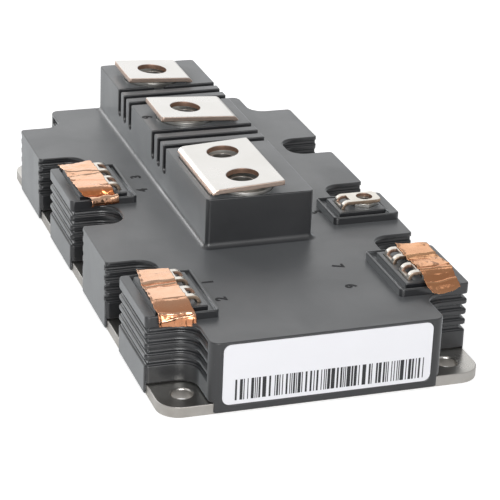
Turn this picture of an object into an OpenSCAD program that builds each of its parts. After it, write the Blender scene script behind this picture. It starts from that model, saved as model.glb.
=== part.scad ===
// Half-bridge power semiconductor module with a metal base plate.
// X runs across the module, Y along it (label end at -Y), Z up from the
// heat-sink face. The origin is the centre of the heat-sink face.

/* [Housing] */
// Length of the moulded housing along Y
housing_l = 172; // [168:1:178]
// Width of the moulded housing across X
housing_w = 89; // [86:1:94]
// Height of the deck above the heat-sink face
deck_z = 20; // [19:0.5:22]
// Thickness of the deck
deck_t = 2.5; // [1.5:0.1:3]
// Thickness of the outer walls
wall = 2.6; // [2.2:0.1:3]
// Half width of the body between the screw notches
spine_half = 31.5; // [31:0.1:32.5]
// Height of the skirt's lower edge above the heat-sink face
skirt_z = 0.4; // [0.2:0.1:0.8]
// Radius on the upright corners of the side blocks
block_r = 1.2; // [0.8:0.1:1.8]
// Radius on the upright corners of the end blocks
end_r = 2.4; // [1.6:0.1:3]
// Radius in the inner corners of the screw notches
notch_r = 5; // [3.5:0.1:5.5]

/* [Base plate] */
// Thickness of the base plate
plate_t = 3; // [2.5:0.1:4]
// Gap between the base plate's edge and the outside of the skirt
plate_inset = 0.6; // [0.5:0.05:0.9]
// Corner radius of the base plate
plate_r = 6; // [4:0.5:8]
// Diameter of the mounting holes
hole_d = 5.5; // [5:0.1:6.4]
// Width of the chamfer round each mounting hole
hole_chamfer = 0.4; // [0.2:0.1:0.6]
// Distance of the corner mounting holes from the housing's end faces
hole_end = 8; // [7:0.5:9]
// Distance between the two rows of mounting holes
hole_row = 73; // [72:0.5:75]
// Width of the screw notches
notch_w = 13; // [12.5:0.5:14]
// Thickness of the adhesive bead under the housing
bead_t = 0.3; // [0.2:0.05:0.5]

/* [Creepage ribs] */
// Height of the uppermost side groove
groove_top_z = 18.1; // [17.6:0.1:18.4]
// Distance between neighbouring side grooves
groove_pitch = 3; // [2.6:0.1:3.2]
// Number of side grooves
groove_count = 4; // [3:1:4]
// Depth of the side grooves
groove_d = 1.4; // [0.8:0.1:1.5]
// Height of a groove at its root
groove_h = 1.1; // [0.7:0.1:1.2]
// Extra height of a groove at its mouth, which rounds the ribs' noses
groove_mouth = 0.7; // [0.4:0.1:1]
// Plain length left beside each end face
groove_stop = 3.5; // [2.5:0.5:6]

/* [Ridge] */
// Width of the terminal ridge
ridge_w = 31; // [30:0.5:33]
// Height of the ridge's top above the heat-sink face
ridge_z = 34.3; // [33:0.1:36]
// Thickness of the ridge's side and end walls
ridge_wall = 1.5; // [1.2:0.1:1.6]
// Thickness of the ridge's top
ridge_t = 2.5; // [2.2:0.1:3.5]
// Ridge length left in front of the front terminal
ridge_front = 0.8; // [0.5:0.1:3]
// Step between the ridge's rear face and the housing's rear face
ridge_rear = 0.4; // [0.2:0.1:2]
// Radius on the upright corners of the ridge
ridge_r = 1.2; // [0.8:0.1:2]
// Radius of the fillet between ridge and deck
ridge_fillet = 1.6; // [0.8:0.1:2.4]
// Width of the slots across the ridge
slot_w = 2.6; // [2:0.1:3.2]
// Distance between neighbouring slots
slot_pitch = 6; // [5.5:0.1:6.2]
// Number of slots in each set
slot_count = 3; // [2:1:3]
// Depth of the slots in the ridge's top
slot_top_d = 2.2; // [1:0.1:2.6]
// Depth of the slots in the ridge's sides
slot_side_d = 1.8; // [1:0.1:2]
// Height of the slots' lower ends
slot_low_z = 25.9; // [25:0.1:28]
// Distance of each slot set behind the middle between its terminals
slot_shift = 2.2; // [0:0.1:2.4]

/* [Power terminals] */
// Thickness of the terminal sheet
bar_t = 1.5; // [1.2:0.1:1.6]
// Inside radius of the terminal's bend
bar_r = 0.7; // [0.4:0.1:1]
// Rise of the terminal plates towards their free edge, in degrees
bar_tilt = 3.3; // [2:0.1:4]
// Distance of the output terminal's bend from the ridge's left side
output_edge = 1.8; // [1.8:0.1:2.2]
// Distance of the negative terminal's bend from the ridge's right side
minus_edge = 3.8; // [3.4:0.1:4]
// Distance from the holes to the free edge
bar_free = 9.8; // [8.8:0.1:10.4]
// Distance from the hole to the bend of the positive terminal
plus_reach = 10.9; // [10.8:0.1:11.4]
// Distance from the holes to the bend of the output terminal
output_reach = 11.2; // [11.1:0.1:11.3]
// Distance of the positive terminal's hole from the housing's rear face
plus_end = 15; // [14:0.5:16]
// Distance between the holes of the positive and negative terminals
minus_pitch = 36; // [35:0.5:37]
// Distance from the negative terminal's hole to the output terminal's middle
output_gap = 46.5; // [46:0.5:47.5]
// Length of the positive and negative terminals along Y
dc_l = 18; // [17:0.5:19]
// Length of the output terminal along Y
output_l = 34; // [32:0.5:35]
// Distance between the output terminal's two holes
output_pitch = 18; // [17.8:0.1:19]
// Diameter of the terminal holes
bar_hole_d = 9; // [8.4:0.1:9.6]
// Radius on the terminals' free corners
bar_corner = 0.8; // [0.6:0.1:2]
// Amount by which each bend is narrower than its terminal
bar_neck = 5; // [3:0.5:8]

/* [Terminal nuts] */
// Thread core diameter of the terminal nuts
nut_bore = 6.8; // [6.6:0.1:7]
// Width across flats of the terminal nuts
nut_af = 13; // [12.6:0.1:13.2]
// Diameter of the nuts' flange
nut_flange_d = 17; // [16:0.1:17.2]
// Thickness of the nuts' flange
nut_flange_t = 1.6; // [1.2:0.1:2]
// Total height of the terminal nuts
nut_h = 8; // [7:0.1:9]
// Height of the flange's face above the ridge
nut_proud = 0.9; // [0.7:0.1:1]
// Outside diameter of the nut bosses under the ridge
boss_d = 18; // [17.6:0.1:18.2]
// Depth left for the screw's tip under each terminal nut
screw_room = 3; // [2:0.5:4]

/* [Auxiliary terminals] */
// Width of the auxiliary tabs
tab_w = 6.5; // [6:0.1:7]
// Thickness of the auxiliary tabs
tab_t = 1; // [0.8:0.1:1.1]
// Inside radius of the tabs' bend
tab_r = 1.2; // [0.8:0.1:1.4]
// Distance of the tabs' upright leg from the module's middle
tab_leg_x = 28.6; // [28.5:0.1:28.9]
// Distance of the tabs' hole from the module's middle
tab_hole_x = 36.6; // [36:0.1:37]
// Distance from the tabs' hole to their outer end
tab_end = 4.2; // [3.8:0.1:4.6]
// Diameter of the tabs' holes
tab_hole_d = 4.6; // [4.4:0.1:5]
// Distance between the two tabs of a pair
tab_pitch = 10.6; // [10:0.1:11]
// Length of the window through the tabs' bend
window_l = 3.2; // [2.6:0.1:3.8]
// Height of the window through the tabs' bend
window_h = 1.6; // [1.2:0.1:2]
// Reach of the window from the tabs' upright leg
window_reach = 3; // [2.4:0.1:3.4]
// Thread core diameter of the auxiliary nuts
aux_bore = 3.3; // [3.2:0.05:3.5]
// Width across flats of the auxiliary nuts
aux_af = 7; // [6.8:0.1:7.2]
// Height of the auxiliary nuts
aux_h = 3; // [2.6:0.1:3.2]
// Height of the auxiliary nuts above their pedestal
aux_proud = 1; // [0.8:0.1:1.2]

/* [Terminal frames] */
// Height of the frames' rim above the deck
rim_h = 2.1; // [1.6:0.1:2.4]
// Width of the rim on its inner, front and rear sides
rim_w = 0.8; // [0.7:0.1:1.4]
// Width of the rim on its outer side
rim_outer_w = 2.8; // [2.2:0.1:3.2]
// Distance of the frames' inner edge from the module's middle
frame_x = 24.8; // [24.2:0.1:25.2]
// Length of the single-tab frame along Y
single_frame_l = 16; // [15:0.1:16.5]
// Height of the moat's floor above the deck
moat_z = 1.1; // [0.6:0.1:1.3]
// Width of the moat on its inner, front and rear sides
moat_w = 1.6; // [1.2:0.1:1.8]
// Width of the moat on its outer side
moat_outer_w = 0.5; // [0.4:0.1:0.9]
// Height of the pedestals above the deck
pedestal_h = 2.6; // [2.4:0.1:2.8]

/* [Substrates] */
// Gap between neighbouring ceramic substrates along Y
tile_gap = 4; // [3:0.5:5]
// Gap between the substrates' sides and the housing's inner wall
tile_side = 0.4; // [0.2:0.1:0.6]
// Thickness of each ceramic substrate
tile_t = 1; // [0.6:0.1:1.2]
// Thickness of the copper tracks
copper_t = 0.3; // [0.2:0.05:0.4]
// Gap between neighbouring copper tracks
track_gap = 1; // [0.8:0.1:1.2]
// Width of the middle copper track
middle_w = 16; // [15:0.5:17]
// Length of the outer tracks' free margin at the substrate's ends
track_margin = 0.8; // [0.5:0.1:1.2]
// Side of the square transistor dies
igbt_s = 10; // [9:0.1:10.5]
// Side of the square diode dies
diode_s = 8; // [7:0.1:9]
// Thickness of the dies
die_t = 0.3; // [0.2:0.05:0.4]
// Distance of the transistor dies from the substrate's ends
die_margin = 2; // [1.6:0.1:2.4]
// Diameter of the bond wires
wire_d = 0.5; // [0.4:0.05:0.6]
// Height of the bond wires' arch above the tracks
wire_rise = 2; // [1.6:0.1:2.2]
// Number of bond wires on each die
wire_count = 3; // [2:1:3]
// Distance between neighbouring bond wires
wire_pitch = 2; // [1.6:0.1:2.4]

/* [Inner conductors] */
// Height of the output rail's underside
output_rail_z = 8.6; // [8.4:0.1:9]
// Height of the negative rail's underside
minus_rail_z = 11.4; // [11.2:0.1:11.8]
// Width of the output rail
output_rail_w = 9; // [8:0.5:9]
// Outer edge of the positive rail across X
plus_rail_x = 24; // [23.6:0.1:24]
// Thickness of the insulating sheet between the rails
sheet_t = 0.5; // [0.3:0.1:0.8]
// Width of the conductors' feet along Y
foot_w = 6; // [5:0.5:7]
// Length of the conductors' feet across X
foot_l = 4; // [3.5:0.1:4.4]
// Diameter of the temperature sensor
sensor_d = 2.2; // [1.8:0.1:2.2]
// Length of the temperature sensor
sensor_l = 5; // [4:0.5:5.5]

/* [Encapsulation] */
// Height of the silicone gel's surface above the heat-sink face
gel_z = 8.2; // [8:0.1:8.3]
// Height left for the bond wires inside the gel
gel_pocket = 3.2; // [3:0.1:3.4]
// Play between pieces that are cast or slid together
play = 0.1; // [0.08:0.01:0.14]

/* [Label and foils] */
// Width of the label
label_w = 56.6; // [50:0.1:57.4]
// Height of the label
label_h = 16.8; // [12:0.1:17]
// Height of the label's lower edge above the heat-sink face
label_z = 2.5; // [2:0.1:3]
// Thickness of the label and depth of its recess
label_t = 0.2; // [0.1:0.05:0.3]
// Corner radius of the label
label_r = 2; // [1:0.1:3]
// Thickness of the shorting foils
foil_t = 0.25; // [0.15:0.05:0.4]
// Width of the shorting foils across X
foil_w = 8.4; // [7.5:0.1:9]
// Gap between the foils and the pieces under them
foil_gap = 0.1; // [0.05:0.05:0.2]
// Drop of the front foil over its frame's rim
foil_drop = 3.6; // [2:0.1:4.5]
// Distance by which the front foil's free end stands off the wall
foil_flare = 3.4; // [3.2:0.1:4]
// Overhang of the other two foils past their frame's rim
foil_over = 4; // [2:0.1:5]

/* [Hidden] */
$fn = 48;
eps = 0.01;
TILES = [1:4];
TABS = [1:7];
// Distance between neighbouring mounting holes along Y
hole_pitch = (housing_l - 2 * hole_end) / 4;
// Rows of screw notches along Y, and middles of the four pairs of side blocks
NOTCH_Y = [-hole_pitch, 0, hole_pitch];
function block_y(i) = (i - 2.5) * hole_pitch;
block_l = hole_pitch - notch_w;
half_w = housing_w / 2;
half_l = housing_l / 2;
cavity_z = plate_t + bead_t;
moat_floor = deck_z + moat_z;
rim_z = deck_z + rim_h;
pedestal_z = deck_z + pedestal_h;
// Bends of the power terminals, and the line on which their holes lie
output_bend_x = output_edge - ridge_w / 2;
minus_bend_x = ridge_w / 2 - minus_edge;
bar_x = output_bend_x + output_reach;
plus_bend_x = bar_x + plus_reach;
plus_y = half_l - plus_end;
minus_y = plus_y - minus_pitch;
output_y = minus_y - output_gap;
// Power terminals as [hole y's, length, distance to the bend, bend's side, middle]
PLUS = [[plus_y], dc_l, plus_reach, 1, plus_y];
MINUS = [[minus_y], dc_l, minus_bend_x - bar_x, 1, minus_y];
OUTPUT = [[output_y - output_pitch / 2, output_y + output_pitch / 2], output_l, output_reach, -1, output_y];
NUT_Y = concat(PLUS[0], MINUS[0], OUTPUT[0]);
nut_z = ridge_z + nut_proud;
ridge_front_y = output_y - output_l / 2 - ridge_front;
ridge_rear_y = half_l - ridge_rear;
// Slot sets lie between neighbouring terminals
SLOT_SETS = [(plus_y - dc_l / 2 + minus_y + dc_l / 2) / 2 + slot_shift,
             (minus_y - dc_l / 2 + output_y + output_l / 2) / 2 + slot_shift];
slot_set_l = (slot_count - 1) * slot_pitch + slot_w;
// Frames as [side, block, first y, last y, tab y's]
function pair_frame(side, i) =
    [side, i, block_y(i) - block_l / 2, block_y(i) + block_l / 2,
     [block_y(i) - tab_pitch / 2, block_y(i) + tab_pitch / 2]];
FRAMES = [pair_frame(-1, 1), pair_frame(-1, 3), pair_frame(1, 1),
          [1, 2, block_y(2) + block_l / 2 - single_frame_l, block_y(2) + block_l / 2,
           [block_y(2) + (block_l - single_frame_l) / 2]]];
// Tabs as [side, y, block]
TAB_LIST = [for (f = FRAMES) for (y = f[4]) [f[0], y, f[1]]];
tab_top = pedestal_z + aux_proud + play + tab_t;
tab_out = tab_hole_x + tab_end;
tile_l = hole_pitch - tile_gap;
tile_w = 2 * (spine_half - wall - tile_side);
die_y = tile_l / 2 - die_margin - igbt_s / 2;
pad_x = tile_w / 2;
track_z = plate_t + tile_t;
foot_z = track_z + copper_t;
plus_rail_z = minus_rail_z + bar_t + sheet_t;
rail_y = block_y(4) + foot_w / 2;
outer_track = [middle_w / 2 + track_gap, plus_rail_x + track_gap / 2];
// Feet as [x of the upright's outer face, direction of the foot]
OUTPUT_FOOT = [-plus_rail_x + 2, 1];
MINUS_FOOT = [-3, 1];
PLUS_FOOT = [plus_rail_x, -1];

// ---------- outlines ----------

// Rectangle with round corners, built from true circles
module round_rect(x0, x1, y0, y1, r) {
    translate([x0 + r, y0]) square([x1 - x0 - 2 * r, y1 - y0]);
    translate([x0, y0 + r]) square([x1 - x0, y1 - y0 - 2 * r]);
    for (x = [x0 + r, x1 - r], y = [y0 + r, y1 - r]) translate([x, y]) circle(r);
}

// Fills the inner corner between the spine and a side block's wall.
// sx and sy point from the corner into the open notch.
module inner_corner(sx, y, sy, inset) {
    r = notch_r + inset;
    overlap = 0.5;
    translate([sx * (spine_half + notch_r), y + sy * notch_r]) difference() {
        translate([sx > 0 ? -r - overlap : 0, sy > 0 ? -r - overlap : 0])
            square([r + overlap, r + overlap]);
        circle(r);
    }
}

// Plan of the housing, drawn smaller all round by inset
module plan(inset = 0) {
    round_rect(-spine_half + inset, spine_half - inset, -half_l + inset, half_l - inset,
               max(0.6, end_r - inset));
    for (i = TILES)
        round_rect(-half_w + inset, half_w - inset,
                   block_y(i) - block_l / 2 + inset, block_y(i) + block_l / 2 - inset,
                   max(0.6, block_r - inset));
    for (sx = [-1, 1], i = TILES, sy = [-1, 1])
        inner_corner(sx, block_y(i) + sy * block_l / 2, sy, inset);
}

module plate_plan(grow = 0) {
    w = half_w - plate_inset + grow;
    l = half_l - plate_inset + grow;
    round_rect(-w, w, -l, l, plate_r + grow);
}

// ---------- base plate and bead ----------

module baseplate() color("gainsboro") difference() {
    linear_extrude(plate_t) plate_plan();
    for (x = [-hole_row / 2, hole_row / 2], n = [-2:2]) translate([x, n * hole_pitch, 0]) {
        translate([0, 0, -eps]) cylinder(h = plate_t + 2 * eps, d = hole_d);
        translate([0, 0, plate_t - hole_chamfer])
            cylinder(h = hole_chamfer + eps, d1 = hole_d, d2 = hole_d + 2 * (hole_chamfer + eps));
    }
}

module adhesive_bead() color("whitesmoke") translate([0, 0, plate_t]) linear_extrude(bead_t)
    difference() {
        plan(plate_inset + play);
        plan(wall);
    }

// ---------- housing ----------

// Areas in which the side grooves run: notches, corner cut-outs and the
// outer faces of the blocks that carry a pair of tabs
module groove_area(d) {
    reach = notch_w / 2 + d;
    for (sx = [-1, 1]) {
        for (y = NOTCH_Y) translate([sx > 0 ? spine_half - d : -half_w - 1, y - reach])
            square([half_w + 1 - spine_half + d, 2 * reach]);
        for (sy = [-1, 1]) {
            inner = block_y(4) + block_l / 2 - d;
            outer = half_l - groove_stop;
            translate([sx > 0 ? spine_half - d : -half_w - 1, sy > 0 ? inner : -outer])
                square([half_w + 1 - spine_half + d, outer - inner]);
        }
    }
    for (f = FRAMES) if (len(f[4]) > 1)
        translate([f[0] > 0 ? half_w - d : -half_w - 1, f[2] - 0.5])
            square([d + 1, f[3] - f[2] + 1]);
}

module groove_ring(d, h) translate([0, 0, -h / 2]) linear_extrude(h) difference() {
    groove_area(d);
    plan(d);
}

module side_grooves() for (k = [0 : groove_count - 1])
    translate([0, 0, groove_top_z - k * groove_pitch]) {
        groove_ring(groove_d, groove_h);
        groove_ring(groove_d / 3, groove_h + groove_mouth);
    }

module frame_rim(f) {
    x1 = half_w;
    side = f[0];
    translate([0, 0, deck_z - deck_t / 2]) linear_extrude(rim_h + deck_t / 2)
        mirror([side < 0 ? 1 : 0, 0]) round_rect(frame_x, x1, f[2], f[3], block_r);
}

module frame_moat(f) {
    side = f[0];
    x0 = frame_x + rim_w;
    x1 = half_w - rim_outer_w;
    y0 = f[2] + rim_w;
    y1 = f[3] - rim_w;
    mirror([side < 0 ? 1 : 0, 0, 0]) difference() {
        translate([x0, y0, moat_floor]) cube([x1 - x0, y1 - y0, rim_z]);
        translate([x0 + moat_w, y0 + moat_w, 0])
            cube([x1 - moat_outer_w - x0 - moat_w, y1 - y0 - 2 * moat_w, pedestal_z]);
    }
}

module frame_pedestal(f) {
    x0 = frame_x + rim_w + moat_w;
    x1 = half_w - rim_outer_w - moat_outer_w;
    y0 = f[2] + rim_w + moat_w;
    y1 = f[3] - rim_w - moat_w;
    mirror([f[0] < 0 ? 1 : 0, 0, 0]) translate([x0, y0, deck_z - deck_t / 2])
        cube([x1 - x0, y1 - y0, pedestal_h + deck_t / 2]);
}

// Seat of one auxiliary nut, with room for the screw's tip below it
aux_boss_d = aux_af + 4;
aux_room = 3;
module aux_seat(t) translate([t[0] * tab_hole_x, t[1], 0]) {
    seat = pedestal_z + aux_proud - aux_h;
    translate([0, 0, seat]) hexagon(aux_af + 2 * play, aux_h + 1);
    translate([0, 0, seat - aux_room]) cylinder(h = aux_room + 1, d = tab_hole_d);
}

module aux_boss(t) translate([t[0] * tab_hole_x, t[1], 0]) {
    low = pedestal_z + aux_proud - aux_h - aux_room - 1.5;
    translate([0, 0, low]) cylinder(h = deck_z - deck_t / 2 - low, d = aux_boss_d);
}

module hexagon(af, h) rotate(30) cylinder(h = h, d = af / cos(30), $fn = 6);

module tab_slot(t) translate([t[0] * (tab_leg_x + tab_t / 2) - tab_t / 2 - play, t[1] - tab_w / 2 - play, 0])
    translate([0, 0, deck_z - deck_t - 1])
        cube([tab_t + 2 * play, tab_w + 2 * play, pedestal_h + deck_t + 2]);

module ridge_block() {
    translate([0, 0, deck_z - deck_t / 2]) linear_extrude(ridge_z - deck_z + deck_t / 2)
        round_rect(-ridge_w / 2, ridge_w / 2, ridge_front_y, ridge_rear_y, ridge_r);
}

// Concave fillet along the ridge's foot on its two sides and its front
module fillet_profile() difference() {
    translate([-0.5, -0.5]) square([ridge_fillet + 0.5, ridge_fillet + 0.5]);
    translate([ridge_fillet, ridge_fillet]) circle(ridge_fillet);
}

module ridge_foot() translate([0, 0, deck_z]) {
    side_l = ridge_rear_y - ridge_front_y - 2 * ridge_r;
    front_l = ridge_w - 2 * ridge_r;
    for (sx = [-1, 1]) {
        translate([sx * ridge_w / 2, ridge_rear_y - ridge_r, 0]) rotate([90, 0, 0])
            mirror([sx < 0 ? 1 : 0, 0, 0]) linear_extrude(side_l) fillet_profile();
        translate([sx * (ridge_w / 2 - ridge_r), ridge_front_y + ridge_r, 0])
            rotate(sx < 0 ? 180 : 270) rotate_extrude(angle = 90)
                translate([ridge_r, 0]) fillet_profile();
    }
    translate([front_l / 2, ridge_front_y, 0]) rotate([90, 0, -90])
        linear_extrude(front_l) fillet_profile();
}

// One slot over the ridge: across the top, and down both sides to round ends
module ridge_slot(y) translate([0, y, 0]) {
    translate([-ridge_w, -slot_w / 2, ridge_z - slot_top_d])
        cube([2 * ridge_w, slot_w, slot_top_d + 1]);
    for (sx = [-1, 1]) translate([sx > 0 ? ridge_w / 2 - slot_side_d : -ridge_w / 2 - 1, 0, 0]) {
        translate([0, -slot_w / 2, slot_low_z + slot_w / 2])
            cube([slot_side_d + 1, slot_w, ridge_z]);
        translate([0, 0, slot_low_z + slot_w / 2]) rotate([0, 90, 0])
            cylinder(h = slot_side_d + 1, d = slot_w);
    }
}

// Hollow of the ridge: wide rooms under the terminals, narrow ones behind the slots
module ridge_hollow() {
    low = deck_z - deck_t - 1;
    wide = ridge_w / 2 - ridge_wall;
    narrow = wide - slot_side_d;
    front = ridge_front_y + ridge_wall;
    rear = ridge_rear_y - ridge_wall;
    translate([-narrow, front, low]) cube([2 * narrow, rear - front, ridge_z - ridge_t - slot_top_d - low]);
    edges = [front,
             SLOT_SETS[1] - slot_set_l / 2 - ridge_wall, SLOT_SETS[1] + slot_set_l / 2 + ridge_wall,
             SLOT_SETS[0] - slot_set_l / 2 - ridge_wall, SLOT_SETS[0] + slot_set_l / 2 + ridge_wall,
             rear];
    for (k = [0, 2, 4]) translate([-wide, edges[k], low])
        cube([2 * wide, edges[k + 1] - edges[k], ridge_z - ridge_t - low]);
}

boss_low = nut_z - nut_h - screw_room - 2;
boss_h = ridge_z - ridge_t / 2 - boss_low;
module nut_boss(y) translate([bar_x, y, boss_low]) cylinder(h = boss_h, d = boss_d);

// Web that joins the two bosses under the output terminal
module boss_web() translate([bar_x - boss_d / 4, OUTPUT[0][0], boss_low])
    cube([boss_d / 2, output_pitch, boss_h]);

module nut_seat(y) translate([bar_x, y, 0]) {
    translate([0, 0, nut_z - nut_flange_t]) cylinder(h = nut_flange_t, d = nut_flange_d + 2 * play);
    translate([0, 0, nut_z - nut_h]) hexagon(nut_af + 2 * play, nut_h);
    translate([0, 0, nut_z - nut_h - screw_room]) cylinder(h = screw_room + 1, d = nut_bore + 2);
}

// Slot in the ridge's top for a terminal's upright, with room for its bend
module bar_slot(b) {
    bend = bar_x + b[3] * b[2];
    room = bar_t + bar_r + 2 * play;
    l = b[1] - bar_neck + 2 * play;
    translate([b[3] > 0 ? bend - bar_t - play : bend - play, b[4] - l / 2, ridge_z - ridge_t - 2])
        cube([bar_t + 2 * play, l, ridge_t + 4]);
}

module label_plan(grow) {
    round_rect(-label_w / 2 - grow, label_w / 2 + grow, label_z - grow, label_z + label_h + grow,
               label_r + grow);
}

module housing() color([0.24, 0.25, 0.26]) difference() {
    union() {
        difference() {
            union() {
                translate([0, 0, skirt_z]) linear_extrude(deck_z - skirt_z) plan();
                ridge_block();
                ridge_foot();
                for (f = FRAMES) frame_rim(f);
            }
            for (f = FRAMES) frame_moat(f);
            translate([0, 0, -1]) linear_extrude(cavity_z + 1) plate_plan(play);
            translate([0, 0, cavity_z - 1]) linear_extrude(deck_z - deck_t - cavity_z + 1) plan(wall);
            ridge_hollow();
            side_grooves();
            for (s = SLOT_SETS, k = [0 : slot_count - 1])
                ridge_slot(s + (k - (slot_count - 1) / 2) * slot_pitch);
        }
        for (f = FRAMES) frame_pedestal(f);
        intersection() {
            union() {
                for (y = NUT_Y) nut_boss(y);
                boss_web();
            }
            ridge_block();
        }
        for (t = TAB_LIST) aux_boss(t);
    }
    for (y = NUT_Y) nut_seat(y);
    for (b = [PLUS, MINUS, OUTPUT]) bar_slot(b);
    for (t = TAB_LIST) { aux_seat(t); tab_slot(t); }
    translate([0, -half_l + label_t, 0]) rotate([90, 0, 0]) linear_extrude(label_t + 1) label_plan(play);
}

// ---------- power terminals ----------

// Section of a terminal across the module: upright, bend and tilted plate.
// Drawn for a bend at x = 0 with the plate running towards +x: what lies
// outside the sheet's inner surface is taken away from what lies inside its outer one.
module bar_section(low, reach) {
    outer = bar_r + bar_t;
    bend_z = nut_z - bar_r * cos(bar_tilt);
    drop = bend_z - low;
    far = reach + bar_free;
    translate([outer, bend_z]) difference() {
        union() {
            circle(outer);
            translate([-outer, -drop]) square([outer, drop]);
            rotate(bar_tilt) square([far - outer, outer]);
        }
        circle(bar_r);
        translate([-bar_r, -drop - 1]) square([far, drop + 1]);
        rotate(bar_tilt) translate([0, -far]) square([far, far + bar_r]);
    }
}

module bar(b, low) {
    neck = b[1] - bar_neck;
    top = nut_z - 1;
    bend = bar_x + b[3] * b[2];
    translate([bend, b[4], 0]) mirror([b[3] > 0 ? 1 : 0, 0, 0]) difference() {
        union() {
            translate([0, neck / 2, 0]) rotate([90, 0, 0]) linear_extrude(neck) bar_section(low, b[2]);
            intersection() {
                translate([0, b[1] / 2, 0]) rotate([90, 0, 0]) linear_extrude(b[1]) bar_section(top, b[2]);
                translate([0, 0, nut_z - 0.2]) linear_extrude(b[2] + bar_free)
                    round_rect(-bar_corner, b[2] + bar_free, -b[1] / 2, b[1] / 2, bar_corner);
            }
        }
        for (y = b[0]) translate([b[2], y - b[4], nut_z]) rotate([0, -bar_tilt, 0])
            translate([0, 0, -2 * bar_t]) cylinder(h = 6 * bar_t, d = bar_hole_d);
    }
}

// One foot: upright strip from the rail down to the copper, then flat on it
module foot(f, y, top) translate([f[0], y - foot_w / 2, foot_z]) {
    translate([f[1] > 0 ? 0 : -bar_t, 0, 0]) cube([bar_t, foot_w, top - foot_z]);
    translate([f[1] > 0 ? 0 : -foot_l, 0, 0]) cube([foot_l, foot_w, bar_t]);
}

module output_terminal() color("silver") {
    neck = output_l - bar_neck;
    bar(OUTPUT, output_rail_z);
    translate([output_bend_x + bar_t - output_rail_w, -rail_y, output_rail_z])
        cube([output_rail_w, 2 * rail_y, bar_t]);
    for (i = TILES) foot([output_bend_x + bar_t - output_rail_w, 1], block_y(i), output_rail_z + bar_t);
}

module negative_terminal() color("silver") {
    bar(MINUS, minus_rail_z);
    translate([MINUS_FOOT[0], -rail_y, minus_rail_z])
        cube([minus_bend_x - MINUS_FOOT[0], 2 * rail_y, bar_t]);
    for (i = TILES) foot(MINUS_FOOT, block_y(i), minus_rail_z + bar_t);
}

plus_rail_in = minus_bend_x + 2;
module positive_terminal() color("silver") {
    branch_y = plus_y - (dc_l - bar_neck) / 2;
    bar(PLUS, plus_rail_z);
    translate([plus_rail_in, -rail_y, plus_rail_z])
        cube([plus_rail_x - plus_rail_in, rail_y + branch_y + 1, bar_t]);
    translate([plus_bend_x - bar_t, branch_y, plus_rail_z])
        cube([plus_rail_x - plus_bend_x + bar_t, dc_l - bar_neck, bar_t]);
    for (i = TILES) foot(PLUS_FOOT, block_y(i), plus_rail_z + bar_t);
}

module insulating_sheet() color("khaki") difference() {
    translate([MINUS_FOOT[0] - 1, -rail_y - 1, minus_rail_z + bar_t])
        cube([plus_rail_x - bar_t - play - MINUS_FOOT[0] + 1, 2 * rail_y + 2, sheet_t]);
    translate([minus_bend_x - bar_t - play, minus_y - (dc_l - bar_neck) / 2 - play, minus_rail_z])
        cube([bar_t + 2 * play, dc_l - bar_neck + 2 * play, 5]);
}

module terminal_nuts() color("lightgray") for (y = NUT_Y) translate([bar_x, y, 0]) difference() {
    union() {
        translate([0, 0, nut_z - nut_flange_t]) cylinder(h = nut_flange_t, d = nut_flange_d);
        translate([0, 0, nut_z - nut_h]) hexagon(nut_af, nut_h - nut_flange_t / 2);
    }
    translate([0, 0, nut_z - nut_h - 1]) cylinder(h = nut_h + 2, d = nut_bore);
}

// ---------- auxiliary terminals ----------

// Section of a tab: foot, upright, bend and flat end, drawn for the +x side
module tab_section() {
    outer = tab_r + tab_t;
    cz = tab_top - outer;
    translate([tab_leg_x, foot_z]) square([tab_t, cz - foot_z]);
    translate([tab_leg_x + tab_t - foot_l, foot_z]) square([foot_l, tab_t]);
    translate([tab_leg_x + outer, cz]) {
        intersection() {
            difference() { circle(outer); circle(tab_r); }
            translate([-outer - 1, 0]) square(outer + 1);
        }
        translate([0, tab_r]) square([tab_out - tab_leg_x - outer, tab_t]);
    }
}

module auxiliary_tab(i) {
    t = TAB_LIST[i - 1];
    corner = 1.5;
    color("silver") translate([0, t[1], 0]) mirror([t[0] < 0 ? 1 : 0, 0, 0]) difference() {
        intersection() {
            translate([0, tab_w / 2, 0]) rotate([90, 0, 0]) linear_extrude(tab_w) tab_section();
            linear_extrude(tab_top + 1) union() {
                round_rect(tab_leg_x + tab_t - foot_l - corner, tab_out, -tab_w / 2, tab_w / 2, corner);
                translate([tab_leg_x - foot_l, -tab_w / 2]) square([foot_l + 3, tab_w]);
            }
        }
        translate([tab_hole_x, 0, tab_top - tab_t - 1]) cylinder(h = tab_t + 2, d = tab_hole_d);
        translate([tab_leg_x - 1, -window_l / 2, tab_top - window_h])
            cube([1 + window_reach, window_l, window_h + 1]);
    }
}

module auxiliary_nuts() color("lightgray") for (t = TAB_LIST)
    translate([t[0] * tab_hole_x, t[1], pedestal_z + aux_proud - aux_h]) difference() {
        hexagon(aux_af, aux_h);
        translate([0, 0, -1]) cylinder(h = aux_h + 2, d = aux_bore);
    }

// ---------- substrates ----------

module ceramic_substrate(i) color("white")
    translate([-tile_w / 2, block_y(i) - tile_l / 2, plate_t]) cube([tile_w, tile_l, tile_t]);

tab_pad_x = outer_track[1] + track_gap / 2;
module copper_tracks(i) color([0.8, 0.5, 0.3]) translate([0, block_y(i), track_z]) {
    l = tile_l - 2 * track_margin;
    translate([-middle_w / 2, -l / 2, 0]) cube([middle_w, l, copper_t]);
    for (sx = [-1, 1]) translate([sx > 0 ? outer_track[0] : -outer_track[1], -l / 2, 0])
        cube([outer_track[1] - outer_track[0], l, copper_t]);
    for (t = TAB_LIST) if (t[2] == i)
        translate([t[0] > 0 ? tab_pad_x : -pad_x + track_margin / 2, t[1] - block_y(i) - tab_w / 2, 0])
            cube([pad_x - track_margin / 2 - tab_pad_x, tab_w, copper_t]);
}

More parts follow.
